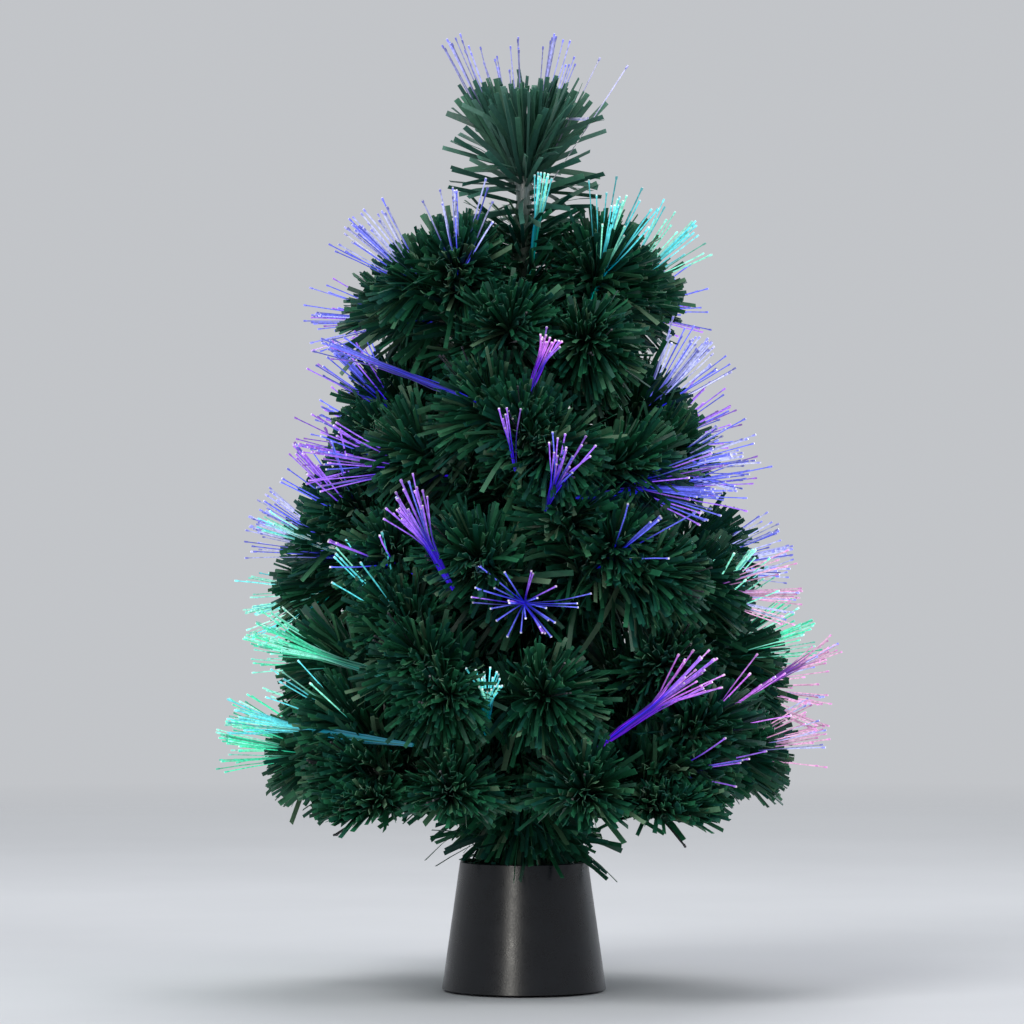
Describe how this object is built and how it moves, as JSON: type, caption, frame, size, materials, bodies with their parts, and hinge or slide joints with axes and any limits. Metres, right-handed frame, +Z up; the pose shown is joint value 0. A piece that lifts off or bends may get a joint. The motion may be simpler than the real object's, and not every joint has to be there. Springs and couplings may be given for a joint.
{
  "type": "light-up tabletop christmas tree",
  "caption": "Small fibre-optic christmas tree: folding wire branches with strip needles and light fibres on a lift-out trunk, in a tapered pot with a lamp and a turning colour wheel.",
  "frame": {"origin": "on the table, under the middle of the pot and on the axis of the trunk", "axes": "+Z up along the trunk; -Y is the front, +Y the back with the power inlet and the switch"},
  "size_m": [0.3796, 0.3854, 0.6009],
  "materials": {
    "black_plastic": "satin, moulded",
    "dark_rubber": "matt",
    "zinc_steel": "zinc plated",
    "mirror_glass": "faceted reflector",
    "ceramic": "unglazed",
    "colour_film": "clear tinted sectors",
    "wire_sheath": "flexible sheath",
    "red_sheath": "flexible sheath",
    "clear_fibre": "clear acrylic strands",
    "green_tape": "wound tape",
    "green_wire": "paper-wrapped wire",
    "green_needles": "cut plastic strips"
  },
  "bodies": {
    "base": {"pot_shell": "black_plastic", "base_plate": "black_plastic", "rubber_foot_1": "dark_rubber", "rubber_foot_2": "dark_rubber", "rubber_foot_3": "dark_rubber", "rubber_foot_4": "dark_rubber", "plate_screw_1": "zinc_steel", "plate_screw_2": "zinc_steel", "plate_screw_3": "zinc_steel", "trunk_socket": "black_plastic", "wheel_motor": "zinc_steel", "motor_screw_1": "zinc_steel", "motor_screw_2": "zinc_steel", "lamp_bracket": "zinc_steel", "lamp_holder": "ceramic", "reflector_lamp": "mirror_glass", "power_inlet": "black_plastic", "inlet_nut": "zinc_steel", "switch_frame": "black_plastic", "switch_lead": "red_sheath", "lamp_lead": "wire_sheath", "motor_lead": "wire_sheath"},
    "wheel": {"colour_wheel": "colour_film", "wheel_hub": "zinc_steel"},
    "rocker": {"switch_rocker": "black_plastic"},
    "tree": {"trunk_ferrule": "zinc_steel", "fibre_bundle": "clear_fibre", "trunk_wrap": "green_tape", "neck_needles": "green_needles", "crown_sprig": "green_needles"},
    "branch_1": {"branch_1_wire": "green_wire", "branch_1_foliage": "green_needles"},
    "branch_2": {"branch_2_wire": "green_wire", "branch_2_foliage": "green_needles"},
    "branch_3": {"branch_3_wire": "green_wire", "branch_3_foliage": "green_needles"},
    "branch_4": {"branch_4_wire": "green_wire", "branch_4_foliage": "green_needles"},
    "branch_5": {"branch_5_wire": "green_wire", "branch_5_foliage": "green_needles"},
    "branch_6": {"branch_6_wire": "green_wire", "branch_6_foliage": "green_needles"},
    "branch_7": {"branch_7_wire": "green_wire", "branch_7_foliage": "green_needles"},
    "branch_8": {"branch_8_wire": "green_wire", "branch_8_foliage": "green_needles"},
    "branch_9": {"branch_9_wire": "green_wire", "branch_9_foliage": "green_needles"},
    "branch_10": {"branch_10_wire": "green_wire", "branch_10_foliage": "green_needles"},
    "branch_11": {"branch_11_wire": "green_wire", "branch_11_foliage": "green_needles"},
    "branch_12": {"branch_12_wire": "green_wire", "branch_12_foliage": "green_needles"},
    "branch_13": {"branch_13_wire": "green_wire", "branch_13_foliage": "green_needles"},
    "branch_14": {"branch_14_wire": "green_wire", "branch_14_foliage": "green_needles"},
    "branch_15": {"branch_15_wire": "green_wire", "branch_15_foliage": "green_needles"}
  },
  "joints": [
    {"name": "tree_lift", "type": "slide", "parent": "base", "child": "tree", "axis": [0, 0, 1], "range_m": [0, 0.06]},
    {"name": "wheel_spin", "type": "hinge", "parent": "base", "child": "wheel", "pos_m": [0, -0.0188, 0.0441], "axis": [0, 0, 1], "continuous": true},
    {"name": "rocker_tip", "type": "hinge", "parent": "base", "child": "rocker", "pos_m": [-0.01436, 0.04697, 0.02357], "axis": [-0.9563, -0.2924, 0], "range_deg": [0, 18]},
    {"name": "branch_1_fold", "type": "hinge", "parent": "tree", "child": "branch_1", "pos_m": [0.00692, 0.00692, 0.12557], "axis": [0.7071, -0.7071, 0], "range_deg": [-20, 70], "deforming": ["branch_1_foliage"]},
    {"name": "branch_2_fold", "type": "hinge", "parent": "tree", "child": "branch_2", "pos_m": [-0.00692, 0.00692, 0.12557], "axis": [0.7071, 0.7071, 0], "range_deg": [-20, 70], "deforming": ["branch_2_foliage"]},
    {"name": "branch_3_fold", "type": "hinge", "parent": "tree", "child": "branch_3", "pos_m": [-0.00692, -0.00692, 0.12557], "axis": [-0.7071, 0.7071, 0], "range_deg": [-20, 70], "deforming": ["branch_3_foliage"]},
    {"name": "branch_4_fold", "type": "hinge", "parent": "tree", "child": "branch_4", "pos_m": [0.00692, -0.00692, 0.12557], "axis": [-0.7071, -0.7071, 0], "range_deg": [-20, 70], "deforming": ["branch_4_foliage"]},
    {"name": "branch_5_fold", "type": "hinge", "parent": "tree", "child": "branch_5", "pos_m": [0.00936, 0, 0.16452], "axis": [0, -1, 0], "range_deg": [-20, 56], "deforming": ["branch_5_foliage"]},
    {"name": "branch_6_fold", "type": "hinge", "parent": "tree", "child": "branch_6", "pos_m": [-0.00468, 0.0081, 0.16452], "axis": [0.866, 0.5, 0], "range_deg": [-20, 56], "deforming": ["branch_6_foliage"]},
    {"name": "branch_7_fold", "type": "hinge", "parent": "tree", "child": "branch_7", "pos_m": [-0.00468, -0.0081, 0.16452], "axis": [-0.866, 0.5, 0], "range_deg": [-20, 56], "deforming": ["branch_7_foliage"]},
    {"name": "branch_8_fold", "type": "hinge", "parent": "tree", "child": "branch_8", "pos_m": [0.00436, 0.00756, 0.22192], "axis": [0.866, -0.5, 0], "range_deg": [-20, 48], "deforming": ["branch_8_foliage"]},
    {"name": "branch_9_fold", "type": "hinge", "parent": "tree", "child": "branch_9", "pos_m": [-0.00873, 0, 0.22192], "axis": [0, 1, 0], "range_deg": [-20, 48], "deforming": ["branch_9_foliage"]},
    {"name": "branch_10_fold", "type": "hinge", "parent": "tree", "child": "branch_10", "pos_m": [0.00436, -0.00756, 0.22192], "axis": [-0.866, -0.5, 0], "range_deg": [-20, 48], "deforming": ["branch_10_foliage"]},
    {"name": "branch_11_fold", "type": "hinge", "parent": "tree", "child": "branch_11", "pos_m": [0.00692, 0.00399, 0.28916], "axis": [0.5, -0.866, 0], "range_deg": [-20, 40], "deforming": ["branch_11_foliage"]},
    {"name": "branch_12_fold", "type": "hinge", "parent": "tree", "child": "branch_12", "pos_m": [-0.00692, 0.00399, 0.28916], "axis": [0.5, 0.866, 0], "range_deg": [-20, 40], "deforming": ["branch_12_foliage"]},
    {"name": "branch_13_fold", "type": "hinge", "parent": "tree", "child": "branch_13", "pos_m": [0, -0.00799, 0.28916], "axis": [-1, 0, 0], "range_deg": [-20, 40], "deforming": ["branch_13_foliage"]},
    {"name": "branch_14_fold", "type": "hinge", "parent": "tree", "child": "branch_14", "pos_m": [0.00678, 0.00182, 0.3769], "axis": [0.2588, -0.9659, 0], "range_deg": [-20, 26], "deforming": ["branch_14_foliage"]},
    {"name": "branch_15_fold", "type": "hinge", "parent": "tree", "child": "branch_15", "pos_m": [-0.00678, -0.00182, 0.3769], "axis": [-0.2588, 0.9659, 0], "range_deg": [-20, 26], "deforming": ["branch_15_foliage"]}
  ]
}
